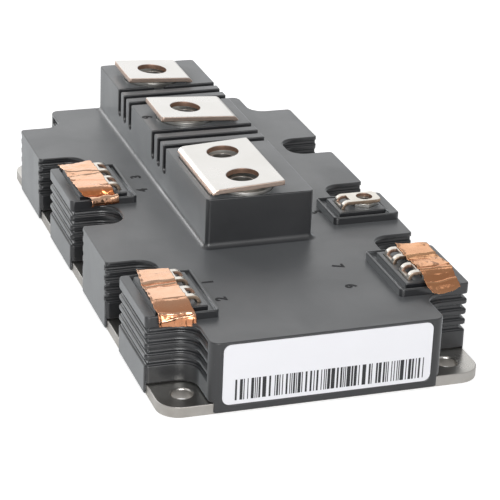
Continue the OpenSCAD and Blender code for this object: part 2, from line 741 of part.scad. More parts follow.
die_x = (outer_track[0] + outer_track[1]) / 2;
module die(s, x, y) translate([x - s / 2, y - s / 2, foot_z]) cube([s, s, die_t]);
module transistor_dies(i) color("dimgray") for (sx = [-1, 1])
    die(igbt_s, sx * die_x, block_y(i) - sx * die_y);
module diode_dies(i) color("gray") for (sx = [-1, 1])
    die(diode_s, sx * die_x, block_y(i) + sx * die_y);

// One wire: an arch from a die's top down to the middle track
module wire(sx, y) {
    x0 = middle_w / 2 - 1.5;
    x1 = die_x - 1;
    span = x1 - x0;
    r = (span * span / 4 + wire_rise * wire_rise) / (2 * wire_rise);
    translate([0, y + wire_d / 2, 0]) rotate([90, 0, 0]) linear_extrude(wire_d)
        mirror([sx < 0 ? 1 : 0, 0]) intersection() {
            translate([(x0 + x1) / 2, foot_z + wire_rise - r]) difference() {
                circle(r);
                circle(r - wire_d);
            }
            union() {
                translate([0, foot_z]) square([(x0 + x1) / 2 + eps, 2 * wire_rise]);
                translate([(x0 + x1) / 2, foot_z + die_t]) square([span, 2 * wire_rise]);
            }
        }
}

module bond_wires(i) color("gainsboro") for (sx = [-1, 1], sy = [-1, 1], k = [0 : wire_count - 1])
    wire(sx, block_y(i) + sy * die_y + (k - (wire_count - 1) / 2) * wire_pitch);

module temperature_sensor() color("saddlebrown")
    translate([0, block_y(2) + tile_l / 2 - track_margin - sensor_l - 1, foot_z + sensor_d / 2])
        rotate([-90, 0, 0]) cylinder(h = sensor_l, d = sensor_d);

// ---------- encapsulation ----------

module gel_foot(f) for (i = TILES)
    translate([(f[1] > 0 ? f[0] : f[0] - foot_l) - play, block_y(i) - foot_w / 2 - play, plate_t])
        cube([foot_l + 2 * play, foot_w + 2 * play, gel_z]);

module silicone_gel() color([0.85, 0.9, 0.95]) difference() {
    translate([0, 0, plate_t]) linear_extrude(gel_z - plate_t) plan(wall + play);
    for (i = TILES) translate([-tile_w / 2 - play, block_y(i) - tile_l / 2 - play, plate_t - 1])
        cube([tile_w + 2 * play, tile_l + 2 * play, 1 + tile_t + copper_t + gel_pocket]);
    gel_foot([output_bend_x + bar_t - output_rail_w, 1]);
    gel_foot(MINUS_FOOT);
    gel_foot(PLUS_FOOT);
    for (t = TAB_LIST) translate([t[0] > 0 ? tab_leg_x + tab_t - foot_l - play : -tab_leg_x - tab_t - play,
                                  t[1] - tab_w / 2 - play, plate_t])
        cube([foot_l + 2 * play, tab_w + 2 * play, gel_z]);
}

// ---------- label and shorting foils ----------

module label() color("white") translate([0, -half_l + label_t, 0]) rotate([90, 0, 0])
    linear_extrude(label_t) label_plan(0);

// Strip of foil over a pair of tabs. Its section follows a broken line along Y,
// with mitred bends, and its front end hangs past the frame's rim.
function across(a, b) = [a[1] - b[1], b[0] - a[0]] / norm(b - a);
function mitre(a, b, c) = (across(a, b) + across(b, c)) / (1 + across(a, b) * across(b, c));
function foil_side(p, h) = let (n = len(p) - 1)
    [for (k = [0:n]) p[k] + h * (k == 0 ? across(p[0], p[1])
                               : k == n ? across(p[n - 1], p[n])
                               : mitre(p[k - 1], p[k], p[k + 1]))];
function reversed(v) = [for (k = [len(v) - 1 : -1 : 0]) v[k]];

module foil_strip(f, points) {
    x0 = tab_out - foil_w;
    translate([f[0] > 0 ? x0 : -x0 - foil_w, 0, 0]) rotate([90, 0, 90]) linear_extrude(foil_w)
        polygon(concat(foil_side(points, foil_t / 2), reversed(foil_side(points, -foil_t / 2))));
}

foil_z = tab_top + foil_gap + foil_t / 2;
function foil_rear(f) = f[4][len(f[4]) - 1] + tab_w / 2;
function foil_bend(f) = f[4][0] - tab_w / 2 - foil_t;
function rim_clear(f) = f[2] - foil_gap - foil_t / 2;
foil_rim_z = rim_z + foil_gap + foil_t / 2;

module shorting_foil_front() color([0.85, 0.5, 0.3]) {
    f = FRAMES[0];
    foil_strip(f, [[foil_rear(f), foil_z], [foil_bend(f), foil_z], [rim_clear(f), foil_rim_z],
                   [rim_clear(f) - foil_flare, foil_rim_z - foil_drop]]);
}

module shorting_foil_left() color([0.85, 0.5, 0.3]) {
    f = FRAMES[1];
    foil_strip(f, [[foil_rear(f), foil_z], [foil_bend(f), foil_z], [rim_clear(f), foil_rim_z],
                   [rim_clear(f) - foil_over, foil_rim_z - foil_over / 4]]);
}

module shorting_foil_right() color([0.85, 0.5, 0.3]) {
    f = FRAMES[2];
    foil_strip(f, [[foil_rear(f), foil_z], [foil_bend(f), foil_z], [rim_clear(f), foil_rim_z],
                   [rim_clear(f) - foil_over, foil_rim_z - foil_over / 8]]);
}

baseplate();
housing();
adhesive_bead();
output_terminal();
negative_terminal();
positive_terminal();
insulating_sheet();
terminal_nuts();
auxiliary_nuts();
temperature_sensor();
silicone_gel();
label();
shorting_foil_front();
shorting_foil_left();
shorting_foil_right();
for (i = TILES) {
    ceramic_substrate(i);
    copper_tracks(i);
    transistor_dies(i);
    diode_dies(i);
    bond_wires(i);
}
for (i = TABS) auxiliary_tab(i);
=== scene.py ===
import bmesh
import bpy
import numpy as np
from mathutils import Matrix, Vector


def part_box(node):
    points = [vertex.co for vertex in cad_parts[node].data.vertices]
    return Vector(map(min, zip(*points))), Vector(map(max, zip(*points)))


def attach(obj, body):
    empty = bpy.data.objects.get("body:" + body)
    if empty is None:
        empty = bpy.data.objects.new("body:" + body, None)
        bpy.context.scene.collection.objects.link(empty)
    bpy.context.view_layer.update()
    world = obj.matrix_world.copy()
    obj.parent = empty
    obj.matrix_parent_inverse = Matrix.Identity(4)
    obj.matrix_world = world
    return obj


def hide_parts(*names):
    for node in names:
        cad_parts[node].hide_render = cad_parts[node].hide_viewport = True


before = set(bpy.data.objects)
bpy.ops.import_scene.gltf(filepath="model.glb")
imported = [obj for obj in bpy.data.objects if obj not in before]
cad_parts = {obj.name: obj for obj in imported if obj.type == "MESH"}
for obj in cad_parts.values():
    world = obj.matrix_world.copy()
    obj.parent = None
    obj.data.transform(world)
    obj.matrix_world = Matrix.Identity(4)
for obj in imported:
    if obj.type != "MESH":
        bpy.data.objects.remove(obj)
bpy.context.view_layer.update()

scene = bpy.context.scene


# ---------------------------------------------------------------- Camera
# A long lens looks down at the label end of the module from the front left.
# The body of the camera is rolled a little.
camera_place = (-0.1753, -0.5191, 0.2475)
camera_azimuth, camera_elevation, camera_roll = np.radians([-19.34, 23.83, -2.38])

back = np.array([np.sin(camera_azimuth) * np.cos(camera_elevation),
                 -np.cos(camera_azimuth) * np.cos(camera_elevation),
                 np.sin(camera_elevation)])
level = np.cross(-back, (0, 0, 1))
level /= np.linalg.norm(level)
upright = np.cross(back, level)
right = np.cos(camera_roll) * level - np.sin(camera_roll) * upright
up = np.sin(camera_roll) * level + np.cos(camera_roll) * upright


def placed(axes, place):
    """The matrix of an object whose own axes and origin are given in the room."""
    return Matrix([[*row, at] for row, at in zip(np.array(axes).T, place)] + [[0, 0, 0, 1]])


lens = bpy.data.cameras.new("camera")
lens.sensor_width = 36
lens.lens = 148.15
lens.shift_x = 0.0054
lens.shift_y = 0.0004
lens.clip_start = 0.01
camera = bpy.data.objects.new("camera", lens)
camera.matrix_world = placed([right, up, back], camera_place)
scene.collection.objects.link(camera)
scene.camera = camera
scene.view_settings.view_transform = "Standard"


# ---------------------------------------------------------------- Studio
# A pale table in a white room, lit by a large soft lamp and a small one
# behind the module, and by two more from the left and from the front.
room_light, room_mirrored = 0.40, 0.42


def new_node(tree, kind, values=None, **settings):
    """A shader node with its settings, and then plain values on its inputs."""
    node = tree.nodes.new("ShaderNode" + kind)
    for name, value in settings.items():
        setattr(node, name, value)
    for name, value in (values or {}).items():
        node.inputs[name].default_value = value
    return node


def wire(tree, *wires):
    """Joins nodes, each wire given as (node, output, next node, input)."""
    for source, outlet, target, inlet in wires:
        tree.links.new(source.outputs[outlet], target.inputs[inlet])


room = bpy.data.worlds.new("white room")
room.use_nodes = True
scene.world = room
tree = room.node_tree
sky = tree.nodes["Background"]
sky.inputs["Color"].default_value = (1, 1, 1, 1)
path = new_node(tree, "LightPath")
mirrored = new_node(tree, "Math", operation="MAXIMUM")
share = new_node(tree, "MapRange", {"To Min": room_light, "To Max": room_mirrored})
seen = new_node(tree, "Math", operation="MAXIMUM")
wire(tree,
     (path, "Is Glossy Ray", mirrored, 0),
     (path, "Is Transmission Ray", mirrored, 1),
     (mirrored, 0, share, "Value"),
     (share, "Result", seen, 0),
     (path, "Is Camera Ray", seen, 1),
     (seen, 0, sky, "Strength"))


lamp_target = (0, 0, 0.02)


def soft_lamp(name, place, size, power):
    """A square area lamp at a place, turned to face the middle of the module."""
    lamp = bpy.data.lights.new(name, "AREA")
    lamp.size, lamp.energy = size, power
    holder = bpy.data.objects.new(name, lamp)
    away = np.subtract(place, lamp_target)
    away = away / np.linalg.norm(away)
    side = np.cross((0, 0, 1), away)
    side /= np.linalg.norm(side)
    holder.matrix_world = placed([side, np.cross(away, side), away], place)
    scene.collection.objects.link(holder)


soft_lamp("back lamp", (-0.05, 0.70, 0.36), 1.0, 2.4)
soft_lamp("edge lamp", (-0.42, 0.86, 0.30), 0.3, 1.3)
soft_lamp("left lamp", (-0.75, -0.1, 0.75), 0.6, 1.0)
soft_lamp("front lamp", (-0.2, -0.95, 0.45), 0.6, 6.8)

# The table lies a hair under the base plate. Its paint glows for the camera,
# and much less in reflections.
table_reach, table_top = 3.0, -0.0001
table_glow, glow_mirrored = 0.55, 0.15
table_mesh = bpy.data.meshes.new("table")
table_corners = [(-table_reach, -table_reach), (table_reach, -table_reach),
                 (table_reach, table_reach), (-table_reach, table_reach)]
table_mesh.from_pydata([(x, y, table_top) for x, y in table_corners], [], [(0, 1, 2, 3)])
table = bpy.data.objects.new("table", table_mesh)
scene.collection.objects.link(table)
paint = bpy.data.materials.new("table paint")
paint.use_nodes = True
tree = paint.node_tree
shader = tree.nodes["Principled BSDF"]
shader.inputs["Base Color"].default_value = (0.82, 0.82, 0.82, 1)
shader.inputs["Roughness"].default_value = 0.9
shader.inputs["Specular IOR Level"].default_value = 0.1
shader.inputs["Emission Color"].default_value = (1, 1, 1, 1)
path = new_node(tree, "LightPath")
dimmed = new_node(tree, "Math", {1: glow_mirrored}, operation="MULTIPLY")
seen = new_node(tree, "Math", operation="MAXIMUM")
glow = new_node(tree, "Math", {1: table_glow}, operation="MULTIPLY")
wire(tree,
     (path, "Is Glossy Ray", dimmed, 0),
     (dimmed, 0, seen, 0),
     (path, "Is Camera Ray", seen, 1),
     (seen, 0, glow, 0),
     (glow, 0, shader, "Emission Strength"))
table_mesh.materials.append(paint)


# ---------------------------------------------------------------- Base plate
# A thick copper plate with bright nickel plating, stamped with ten screw
# holes. Its edges are tumbled, and the plating is lightly smudged.
merge_gap = 2e-6             # points nearer than this are one point
same_plane = np.radians(0.5)
sharp_turn = np.radians(32)  # edges that turn by more are rounded
round_steps = 2
strip_width = 0.0012         # narrower faces are steps of a curve


def rounded_copy(node, name, radius):
    """A copy of a CAD node whose sharp outward edges are rounded by a radius. Doubled points
    are merged, coplanar triangles are joined, and faces of more than four corners are cut
    into triangles and quads. Only faces narrower than a strip are shaded smooth."""
    work = bmesh.new()
    work.from_mesh(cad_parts[node].data)
    bmesh.ops.remove_doubles(work, verts=work.verts, dist=merge_gap)
    bmesh.ops.dissolve_limit(work, angle_limit=same_plane, verts=work.verts, edges=work.edges)
    for face in work.faces:
        face.smooth = face.calc_area() < strip_width / 2 * face.calc_perimeter()
    bmesh.ops.triangulate(work, faces=[face for face in work.faces if len(face.verts) > 4],
                          ngon_method="BEAUTY")
    bmesh.ops.join_triangles(work, faces=[face for face in work.faces if len(face.verts) == 3],
                             angle_face_threshold=same_plane, angle_shape_threshold=np.pi)
    turn = np.array([edge.calc_face_angle(0) for edge in work.edges])
    outward = np.array([edge.is_convex for edge in work.edges])
    rounded = outward & (turn > sharp_turn)
    mesh = bpy.data.meshes.new(name)
    work.to_mesh(mesh)
    work.free()
    weight = mesh.attributes.new("bevel_weight_edge", "FLOAT", "EDGE")
    weight.data.foreach_set("value", rounded.astype(np.float32))
    piece = bpy.data.objects.new(name, mesh)
    scene.collection.objects.link(piece)
    edge = piece.modifiers.new("rounded edges", "BEVEL")
    edge.width = radius
    edge.segments = round_steps
    edge.limit_method = "WEIGHT"
    edge.use_clamp_overlap = False
    edge.loop_slide = False
    edge.miter_outer = "MITER_ARC"
    shade = piece.modifiers.new("flat faces stay flat", "WEIGHTED_NORMAL")
    shade.mode = "FACE_AREA"
    shade.weight = 100
    shade.keep_sharp = True
    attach(piece, "root")
    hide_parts(node)
    return piece


def new_finish(name, color, metal, roughness):
    """A material of one plain colour, metal share and roughness, ready for its pattern."""
    finish = bpy.data.materials.new(name)
    finish.use_nodes = True
    shader = finish.node_tree.nodes["Principled BSDF"]
    shader.inputs["Base Color"].default_value = (*color, 1)
    shader.inputs["Metallic"].default_value = metal
    shader.inputs["Roughness"].default_value = roughness
    return finish, finish.node_tree, shader


def new_group(name, inputs, outputs):
    """An empty node group with its named inputs, each with a default value, and outputs."""
    group = bpy.data.node_groups.new(name, "ShaderNodeTree")
    for label, kind, value in inputs:
        socket = group.interface.new_socket(label, in_out="INPUT", socket_type=kind)
        if value is not None:
            socket.default_value = value
    for label, kind in outputs:
        group.interface.new_socket(label, in_out="OUTPUT", socket_type=kind)
    return group, group.nodes.new("NodeGroupInput"), group.nodes.new("NodeGroupOutput")


# Handling marks: broad smudges, plus fine scratches that run one way
handling, enter, leave = new_group(
    "handling marks",
    [("Point", "NodeSocketVector", None), ("Smudge scale", "NodeSocketFloat", 60.0),
     ("Scratch scale", "NodeSocketFloat", 900.0),
     ("Stretch", "NodeSocketVector", (1.0, 0.03, 1.0))],
    [("Smudge", "NodeSocketFloat"), ("Scratch", "NodeSocketFloat")])
blots = new_node(handling, "TexNoise", {"Detail": 5, "Roughness": 0.6})
contrast = new_node(handling, "MapRange", {"From Min": 0.38, "From Max": 0.68})
squeeze = new_node(handling, "VectorMath", operation="MULTIPLY")
streaks = new_node(handling, "TexNoise", {"Detail": 3})
wire(handling,
     (enter, "Point", blots, "Vector"),
     (enter, "Smudge scale", blots, "Scale"),
     (blots, "Fac", contrast, "Value"),
     (contrast, "Result", leave, "Smudge"),
     (enter, "Point", squeeze, 0),
     (enter, "Stretch", squeeze, 1),
     (squeeze, "Vector", streaks, "Vector"),
     (enter, "Scratch scale", streaks, "Scale"),
     (streaks, "Fac", leave, "Scratch"))


def two_tone(tree, shader, first, second):
    """A mix of two colours that feeds the shader's colour, with its factor left open."""
    tint = new_node(tree, "Mix", data_type="RGBA")
    tint.inputs["A"].default_value = (*first, 1)
    tint.inputs["B"].default_value = (*second, 1)
    wire(tree, (tint, "Result", shader, "Base Color"))
    return tint


def relief(tree, shader, depth, strength=0.5):
    """A bump of a depth in metres that feeds the shader's normal, with its height left open."""
    bump = new_node(tree, "Bump", {"Distance": depth, "Strength": strength})
    wire(tree, (bump, "Normal", shader, "Normal"))
    return bump


def plated(name, color, dull, roughness, spread, depth, stretch, smudge_scale=60.0):
    """A metal finish that wanders between two colours, and over a spread of roughness, where
    it was handled, with faint scratches of a depth in metres as relief."""
    finish, tree, shader = new_finish(name, color, 1.0, roughness)
    point = new_node(tree, "TexCoord")
    marks = new_node(tree, "Group", node_tree=handling)
    marks.inputs["Smudge scale"].default_value = smudge_scale
    marks.inputs["Stretch"].default_value = stretch
    tint = two_tone(tree, shader, color, dull)
    rough = new_node(tree, "MapRange", {"To Min": roughness, "To Max": roughness + spread})
    bump = relief(tree, shader, depth)
    wire(tree,
         (point, "Object", marks, "Point"),
         (marks, "Smudge", tint, "Factor"),
         (marks, "Smudge", rough, "Value"),
         (rough, "Result", shader, "Roughness"),
         (marks, "Scratch", bump, "Height"))
    return finish


def finish_faces(piece, finish, *others):
    """Gives a piece one finish, and each other finish to the faces whose centres and normals
    pass its own test."""
    piece.data.materials.append(finish)
    count = len(piece.data.polygons)
    centres, normals = np.empty(count * 3), np.empty(count * 3)
    piece.data.polygons.foreach_get("center", centres)
    piece.data.polygons.foreach_get("normal", normals)
    index = np.zeros(count, dtype=np.int32)
    for number, (other, test) in enumerate(others, 1):
        piece.data.materials.append(other)
        index[test(centres.reshape(-1, 3), normals.reshape(-1, 3))] = number
    piece.data.polygons.foreach_set("material_index", index)


def stands(normals, most=0.5):
    """Which faces stand upright, so that their normals rise by less than a share."""
    return abs(normals[:, 2]) < most


plate_nickel = plated("bright nickel plate", (0.62, 0.605, 0.575), (0.57, 0.555, 0.52),
                      0.26, 0.10, 1e-6, (1.0, 0.05, 1.0))
sheared_nickel = plated("sheared nickel edge", (0.60, 0.58, 0.55), (0.50, 0.475, 0.44),
                        0.30, 0.10, 1.2e-5, (0.03, 0.03, 1.0), 90.0)
base_plate = rounded_copy("baseplate", "base_plate", 0.00022)
finish_faces(base_plate, plate_nickel, (sheared_nickel, lambda centres, normals: stands(normals)))


# ---------------------------------------------------------------- Circuit under the gel
# Four ceramic tiles carry etched copper, soldered silicon dies and arched
# aluminium wires. A small sensor sits beside them.
def mottled(name, color, other, metal, roughness, scale, depth):
    """A finish that drifts between two close colours in soft clouds, with a little relief."""
    finish, tree, shader = new_finish(name, color, metal, roughness)
    point = new_node(tree, "TexCoord")
    clouds = new_node(tree, "TexNoise", {"Scale": scale, "Detail": 4})
    tint = two_tone(tree, shader, color, other)
    bump = relief(tree, shader, depth)
    wire(tree,
         (point, "Object", clouds, "Vector"),
         (clouds, "Fac", tint, "Factor"),
         (clouds, "Fac", bump, "Height"))
    return finish


def coat(node, finish):
    """Puts a finish on a CAD node that keeps its own shape."""
    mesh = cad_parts[node].data
    mesh.materials.clear()
    mesh.materials.append(finish)


fired_ceramic = mottled("fired ceramic", (0.88, 0.87, 0.84), (0.82, 0.81, 0.77), 0, 0.55, 700, 4e-6)
track_copper = mottled("track copper", (0.78, 0.42, 0.25), (0.66, 0.33, 0.19), 1, 0.35, 400, 3e-6)
die_metal = mottled("die metal", (0.42, 0.43, 0.45), (0.36, 0.36, 0.40), 0.6, 0.25, 900, 1e-6)
wire_metal = mottled("drawn aluminium", (0.85, 0.86, 0.87), (0.75, 0.76, 0.78), 1, 0.3, 1500, 1e-6)
sensor_glaze = mottled("sensor glaze", (0.30, 0.16, 0.09), (0.22, 0.11, 0.06), 0, 0.3, 900, 1e-6)
for tile in range(1, 5):
    coat(f"ceramic_substrate_{tile}", fired_ceramic)
    coat(f"copper_tracks_{tile}", track_copper)
    coat(f"transistor_dies_{tile}", die_metal)
    coat(f"diode_dies_{tile}", die_metal)
    coat(f"bond_wires_{tile}", wire_metal)
coat("temperature_sensor", sensor_glaze)


# ---------------------------------------------------------------- Power terminals
# Three bent copper sheets with satin nickel plating. Their holes are punched
# through the plating, so the walls show dull brown copper.
terminal_nickel = plated("satin nickel", (0.735, 0.72, 0.695), (0.71, 0.695, 0.665),
                         0.27, 0.05, 8e-7, (1.0, 0.04, 1.0), 90.0)
punched_copper = mottled("punched copper", (0.46, 0.30, 0.22), (0.30, 0.18, 0.13), 0.8, 0.42,
                         900, 8e-6)
sheared_copper = mottled("sheared copper", (0.68, 0.56, 0.48), (0.60, 0.44, 0.36), 1.0, 0.38,
                         700, 6e-6)

# Holes of each terminal as (x, y), the radius inside which a wall is punched,
# and the height above which the flat top's edges lie
terminal_holes = {"output_terminal": [(-0.0025, -0.0205), (-0.0025, -0.0025)],
                  "negative_terminal": [(-0.0025, 0.035)],
                  "positive_terminal": [(-0.0025, 0.071)]}
hole_reach = 0.0049
plate_foot = 0.0345


def cut_edge(centres, normals):
    """The upright faces of a terminal's flat top."""
    return stands(normals) & (centres[:, 2] > plate_foot)


def punched_wall(centres, normals, holes):
    """The upright faces of a terminal's flat top that lie within reach of one of its holes."""
    near = [np.hypot(centres[:, 0] - x, centres[:, 1] - y) < hole_reach for x, y in holes]
    return np.any(near, axis=0) & cut_edge(centres, normals)


for node, holes in terminal_holes.items():
    terminal = rounded_copy(node, node + "_plated", 0.00022)
    finish_faces(terminal, terminal_nickel, (sheared_copper, cut_edge),
                 (punched_copper, lambda centres, normals: punched_wall(centres, normals, holes)))

amber_film = mottled("amber film", (0.62, 0.48, 0.22), (0.55, 0.41, 0.18), 0, 0.3, 300, 2e-6)
coat("insulating_sheet", amber_film)


# ---------------------------------------------------------------- Captive nuts
# Zinc-plated flange nuts sit loosely in seats moulded into the housing, and
# small ones under the tabs.
nut_zinc = plated("zinc plate", (0.70, 0.69, 0.66), (0.60, 0.585, 0.55),
                  0.3, 0.12, 4e-6, (1.0, 1.0, 0.1), 200.0)
for node, name in (("terminal_nuts", "flange_nuts"), ("auxiliary_nuts", "tab_nuts")):
    nuts = rounded_copy(node, name, 0.00012)
    nuts.data.materials.append(nut_zinc)


# ---------------------------------------------------------------- Adhesive and gel
# A bead of silicone glues the housing to the plate, and soft clear gel
# fills the space round the circuit.
cured_adhesive = mottled("cured adhesive", (0.030, 0.030, 0.032), (0.045, 0.045, 0.047),
                         0, 0.5, 500, 1e-5)
clear_gel = mottled("clear gel", (0.80, 0.84, 0.88), (0.76, 0.80, 0.85), 0, 0.12, 120, 1e-5)
coat("adhesive_bead", cured_adhesive)
coat("silicone_gel", clear_gel)


# ---------------------------------------------------------------- Housing
# One moulding in black glass-filled plastic, with a fine matt grain, cloudy
# flow marks and soft edges where the mould parts.
moulding, enter, leave = new_group(
    "moulded grain",
    [("Point", "NodeSocketVector", None), ("Grain scale", "NodeSocketFloat", 5200.0),
     ("Cloud scale", "NodeSocketFloat", 45.0)],
    [("Height", "NodeSocketFloat"), ("Cloud", "NodeSocketFloat")])
grain = new_node(moulding, "TexNoise", {"Detail": 2})
clouds = new_node(moulding, "TexNoise", {"Detail": 6, "Roughness": 0.55, "Distortion": 0.6})
wire(moulding,
     (enter, "Point", grain, "Vector"),
     (enter, "Grain scale", grain, "Scale"),
     (enter, "Point", clouds, "Vector"),
     (enter, "Cloud scale", clouds, "Scale"),
     (grain, "Fac", leave, "Height"),
     (clouds, "Fac", leave, "Cloud"))

black_plastic, tree, shader = new_finish("black plastic", (0.010, 0.0105, 0.012), 0.0, 0.38)
shader.inputs["Specular IOR Level"].default_value = 1.0
shader.inputs["Sheen Weight"].default_value = 0.55
shader.inputs["Sheen Roughness"].default_value = 0.4
shader.inputs["Sheen Tint"].default_value = (0.93, 0.97, 1.0, 1)
point = new_node(tree, "TexCoord")
skin = new_node(tree, "Group", node_tree=moulding)
tint = two_tone(tree, shader, (0.0075, 0.0082, 0.0100), (0.0125, 0.0133, 0.0155))
rough = new_node(tree, "MapRange", {"From Min": 0.3, "From Max": 0.7,
                                    "To Min": 0.31, "To Max": 0.46})
bump = relief(tree, shader, 2e-5, 0.35)
wire(tree,
     (point, "Object", skin, "Point"),
     (skin, "Cloud", tint, "Factor"),
     (skin, "Cloud", rough, "Value"),
     (rough, "Result", shader, "Roughness"),
     (skin, "Height", bump, "Height"))

moulded_housing = rounded_copy("housing", "moulded_housing", 0.0003)
moulded_housing.data.materials.append(black_plastic)


# ---------------------------------------------------------------- Auxiliary tabs
# Small plated tabs bent flat over their nuts. A window is punched through
# each bend, and shows copper at its walls.
tab_nickel = plated("matt nickel", (0.80, 0.765, 0.705), (0.74, 0.70, 0.63),
                    0.30, 0.08, 1e-6, (1.0, 0.1, 1.0), 200.0)
sheared_tab = mottled("sheared tab edge", (0.56, 0.44, 0.34), (0.42, 0.29, 0.20), 1.0, 0.4,
                      900, 6e-6)
tab_foot = 0.0205        # what is lower lies under the deck
tab_tip = 0.0395         # the free end's face lies further out than this
window_half, leg_outside = 0.0018, 0.0325
screw_line, screw_reach = 0.0366, 0.0025
end_on = 0.7             # a normal's share along y, above which a face looks that way


def tab_tests(middle):
    """The tests for a tab's sheared edges, its window's walls and its screw hole's wall, where
    the tab's middle lies at a given y."""
    def sheared(centres, normals):
        side = (abs(normals[:, 1]) > end_on) | (abs(centres[:, 0]) > tab_tip)
        return stands(normals, 0.4) & (centres[:, 2] > tab_foot) & side

    def window(centres, normals):
        inside = (abs(centres[:, 1] - middle) < window_half) & (abs(centres[:, 0]) < leg_outside)
        return inside & (centres[:, 2] > tab_foot) & (abs(normals[:, 1]) > end_on)

    def screw_hole(centres, normals):
        out = np.hypot(abs(centres[:, 0]) - screw_line, centres[:, 1] - middle)
        return (out < screw_reach) & stands(normals)

    return sheared, window, screw_hole


for number in range(1, 8):
    low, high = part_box(f"auxiliary_tab_{number}")
    tab = rounded_copy(f"auxiliary_tab_{number}", f"plated_tab_{number}", 0.00014)
    sheared, window, screw_hole = tab_tests((low[1] + high[1]) / 2)
    finish_faces(tab, tab_nickel, (sheared_tab, sheared), (punched_copper, window),
                 (punched_copper, screw_hole))


# ---------------------------------------------------------------- Label
# A white film label in a shallow recess of the front face, printed with a
# strip of bars in a rhythm of its own.
label_film = mottled("label film", (0.82, 0.82, 0.855), (0.79, 0.79, 0.82), 0, 0.4, 90, 2e-6)
coat("label", label_film)
print_black = mottled("print black", (0.015, 0.015, 0.017), (0.03, 0.03, 0.033), 0, 0.5,
                      2000, 1e-6)
bars_left, bars_right = -0.0250, 0.0268
bars_low, bars_high = 0.0036, 0.0094
bar_unit = 0.00025
ink_depth = 0.00003

# Bars and gaps take turns, each one to four units wide. A bar is a thin box
# whose eight corners are all the pairings of its two x, two y and two z.
draw = np.random.default_rng(7)
widths = draw.choice([1, 2, 3, 4], size=150, p=[0.5, 0.27, 0.15, 0.08]) * bar_unit
edges = bars_left + np.concatenate([[0], np.cumsum(widths)])
edges = edges[edges < bars_right]
count = len(edges) // 2
label_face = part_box("label")[0][1]
bars = np.empty((count, 2, 2, 2, 3))
bars[..., 0] = edges[:2 * count].reshape(count, 2)[:, :, None, None]
bars[..., 1] = np.array([label_face - ink_depth, label_face])[:, None]
bars[..., 2] = np.array([bars_low, bars_high])
box_faces = np.array([[0, 1, 3, 2], [4, 6, 7, 5], [0, 4, 5, 1],
                      [2, 3, 7, 6], [0, 2, 6, 4], [1, 5, 7, 3]])
faces = (box_faces + 8 * np.arange(count)[:, None, None]).reshape(-1, 4)
ink_mesh = bpy.data.meshes.new("label_bars")
ink_mesh.from_pydata(bars.reshape(-1, 3).tolist(), [], faces.tolist())
ink_mesh.update()
label_bars = bpy.data.objects.new("label_bars", ink_mesh)
scene.collection.objects.link(label_bars)
ink_mesh.materials.append(print_black)
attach(label_bars, "root")


# ---------------------------------------------------------------- Terminal numbers
# Plain numerals moulded a hair above the deck beside each tab, read from
# the module's sides.
deck, ridge_top = 0.020, 0.0343
from_left, from_right = np.pi / 2, -np.pi / 2
numerals = [("1", -0.0214, -0.0504, deck, from_left), ("2", -0.0211, -0.0612, deck, from_left),
            ("3", -0.0200, 0.0255, deck, from_left), ("4", -0.0208, 0.0152, deck, from_left),
            ("7", 0.0157, -0.0488, deck, from_right), ("6", 0.0145, -0.0617, deck, from_right),
            ("5", 0.0228, -0.0120, deck, from_right), ("8", 0.0256, 0.0266, deck, from_right),
            ("9", -0.0135, 0.0367, ridge_top, from_left)]
numeral_height = 0.0030
digit_share = 0.7        # a digit's height as a share of its type size
numeral_relief = 0.0001
numeral_boldness = 0.00011
marks_plastic = mottled("numeral plastic", (0.012, 0.012, 0.014), (0.02, 0.02, 0.022), 0, 0.65,
                        2000, 1e-6)
for order, (digit, x, y, z, turn) in enumerate(numerals, 1):
    text = bpy.data.curves.new(f"numeral_{order}", "FONT")
    text.body = digit
    text.size = numeral_height / digit_share
    text.align_x, text.align_y = "CENTER", "CENTER"
    text.extrude = numeral_relief
    text.offset = numeral_boldness
    holder = bpy.data.objects.new(f"numeral_{order}", text)
    scene.collection.objects.link(holder)
    bpy.context.view_layer.update()
    shaped = holder.evaluated_get(bpy.context.evaluated_depsgraph_get())
    mesh = bpy.data.meshes.new_from_object(shaped)
    bpy.data.objects.remove(holder)
    mesh.transform(Matrix.Translation((x, y, z)) @ Matrix.Rotation(turn, 4, "Z"))
    mesh.materials.clear()
    mesh.materials.append(marks_plastic)
    numeral = bpy.data.objects.new(f"deck_numeral_{order}", mesh)
    scene.collection.objects.link(numeral)
    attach(numeral, "root")


# ---------------------------------------------------------------- Shorting foils
# Strips of thin copper foil are pressed over each pair of tabs, and hang in
# creases over the front rim of their frame.
def rolled_foil(name, bright, deep):
    """A thin rolled copper finish that goes from bright to deep with the sheet's tone and painted
    shade from a point attribute, lightly smudged and with faint marks from the rolls."""
    finish, tree, shader = new_finish(name, bright, 1.0, 0.2)
    point = new_node(tree, "TexCoord")
    marks = new_node(tree, "Group", node_tree=handling)
    marks.inputs["Smudge scale"].default_value = 220.0
    marks.inputs["Stretch"].default_value = (0.15, 1.0, 1.0)
    # This point attribute holds the foil's tone plus painted shade where the sheet drops and dips,
    # and painted highlight on raised creases.
    tone_and_shade = new_node(tree, "Attribute", attribute_name="tone_and_shade")
    smudge_tone_and_shade = new_node(tree, "Math", {1: 0.12}, operation="MULTIPLY_ADD")
    tint = two_tone(tree, shader, bright, deep)
    rough = new_node(tree, "MapRange", {"To Min": 0.17, "To Max": 0.30})
    bump = relief(tree, shader, 4e-6)
    wire(tree,
         (point, "Object", marks, "Point"),
         (marks, "Smudge", smudge_tone_and_shade, 0),
         (tone_and_shade, "Fac", smudge_tone_and_shade, 2),
         (smudge_tone_and_shade, 0, tint, "Factor"),
         (marks, "Smudge", rough, "Value"),
         (rough, "Result", shader, "Roughness"),
         (marks, "Scratch", bump, "Height"))
    return finish


